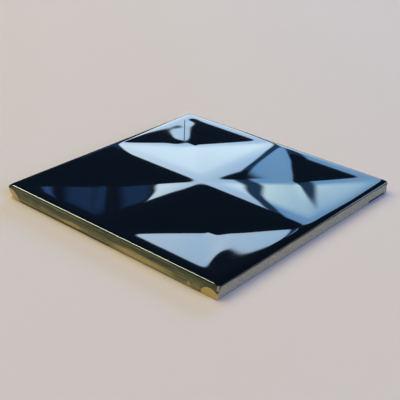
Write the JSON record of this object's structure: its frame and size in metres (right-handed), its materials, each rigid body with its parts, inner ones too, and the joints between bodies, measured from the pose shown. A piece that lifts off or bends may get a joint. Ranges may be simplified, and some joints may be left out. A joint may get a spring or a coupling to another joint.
{
  "type": "relief glazed tile",
  "caption": "Square ceramic wall tile: flat rim, shallow square funnels parted by soft ridges in the face, dark blue mirror glaze, flat back.",
  "frame": {"origin": "middle of the back, which is the underside as the tile lies", "axes": "+Z out of the glazed face, +X and +Y along the tile's sides"},
  "size_m": [0.15, 0.15, 0.0081],
  "materials": {
    "dark_glaze": "near-black blue glaze with a mirror gloss, run down in olive and gold over bare buff clay on the sides"
  },
  "bodies": {
    "root": {"tile": "dark_glaze"}
  },
  "joints": []
}
